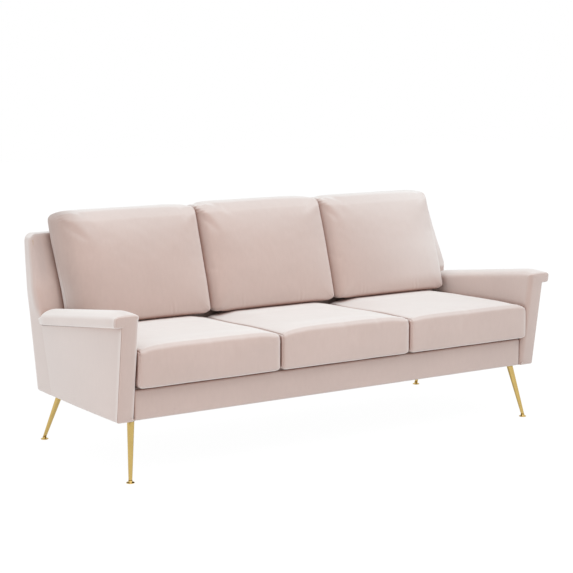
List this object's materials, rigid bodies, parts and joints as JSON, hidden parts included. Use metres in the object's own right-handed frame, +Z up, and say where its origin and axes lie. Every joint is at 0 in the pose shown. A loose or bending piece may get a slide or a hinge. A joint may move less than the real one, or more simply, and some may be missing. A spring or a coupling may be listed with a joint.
{
  "type": "three-seat sofa",
  "caption": "Sofa with a raked upholstered back, low arms with overhanging armrests that slope to the rear, loose seat and back cushions and splayed tapered metal legs.",
  "frame": {"origin": "On the floor, under the middle of the sofa's bounding box.", "axes": "+X to the right as the sofa is seen from the front, +Y from the front to the back, +Z up."},
  "size_m": [1.95, 0.8224, 0.89],
  "materials": {
    "velvet": "smooth blush velvet",
    "satin_gold": "satin",
    "timber": "sawn, untreated",
    "plywood": "birch plywood, untreated",
    "steel": "zinc plated",
    "spring_steel": "drawn wire",
    "webbing": "woven jute",
    "deck_cloth": "plain woven lining over a pad",
    "dust_cloth": "black non-woven"
  },
  "bodies": {
    "sofa_frame": {"leg_front_left": "satin_gold", "foot_front_left": "satin_gold", "leg_plate_front_left": "steel", "leg_front_right": "satin_gold", "foot_front_right": "satin_gold", "leg_plate_front_right": "steel", "leg_rear_left": "satin_gold", "foot_rear_left": "satin_gold", "leg_plate_rear_left": "steel", "leg_rear_right": "satin_gold", "foot_rear_right": "satin_gold", "leg_plate_rear_right": "steel", "front_rail": "timber", "rear_rail": "timber", "side_rail_left": "timber", "stretcher_left": "timber", "corner_block_front_left": "timber", "corner_block_rear_left": "timber", "side_rail_right": "timber", "stretcher_right": "timber", "corner_block_front_right": "timber", "corner_block_rear_right": "timber", "seat_spring_1": "spring_steel", "seat_spring_2": "spring_steel", "seat_spring_3": "spring_steel", "seat_spring_4": "spring_steel", "seat_spring_5": "spring_steel", "seat_spring_6": "spring_steel", "seat_spring_7": "spring_steel", "seat_spring_8": "spring_steel", "seat_spring_9": "spring_steel", "front_rail_cover": "velvet", "seat_deck": "deck_cloth", "dust_cover": "dust_cloth", "arm_cover_left": "velvet", "arm_panel_left": "plywood", "arm_post_left": "timber", "armrest_board_left": "timber", "arm_strap_left": "steel", "arm_cover_right": "velvet", "arm_panel_right": "plywood", "arm_post_right": "timber", "armrest_board_right": "timber", "arm_strap_right": "steel", "back_cover": "velvet", "back_bottom_rail": "timber", "back_top_rail": "timber", "back_post_outer_left": "timber", "back_post_inner_left": "timber", "back_post_inner_right": "timber", "back_post_outer_right": "timber", "back_webbing_1": "webbing", "back_webbing_2": "webbing"},
    "loose_seat_left": {"seat_cushion_left": "velvet"},
    "loose_seat_centre": {"seat_cushion_centre": "velvet"},
    "loose_seat_right": {"seat_cushion_right": "velvet"},
    "loose_back_left": {"back_cushion_left": "velvet"},
    "loose_back_centre": {"back_cushion_centre": "velvet"},
    "loose_back_right": {"back_cushion_right": "velvet"}
  },
  "joints": [
    {"name": "seat_left_pull", "type": "slide", "parent": "sofa_frame", "child": "loose_seat_left", "axis": [0, -1, 0], "range_m": [0, 0.66]},
    {"name": "seat_centre_pull", "type": "slide", "parent": "sofa_frame", "child": "loose_seat_centre", "axis": [0, -1, 0], "range_m": [0, 0.66]},
    {"name": "seat_right_pull", "type": "slide", "parent": "sofa_frame", "child": "loose_seat_right", "axis": [0, -1, 0], "range_m": [0, 0.66]},
    {"name": "back_left_lift", "type": "slide", "parent": "sofa_frame", "child": "loose_back_left", "axis": [0, 0.2959, 0.9552], "range_m": [0, 0.45]},
    {"name": "back_centre_lift", "type": "slide", "parent": "sofa_frame", "child": "loose_back_centre", "axis": [0, 0.2959, 0.9552], "range_m": [0, 0.45]},
    {"name": "back_right_lift", "type": "slide", "parent": "sofa_frame", "child": "loose_back_right", "axis": [0, 0.2959, 0.9552], "range_m": [0, 0.45]}
  ]
}
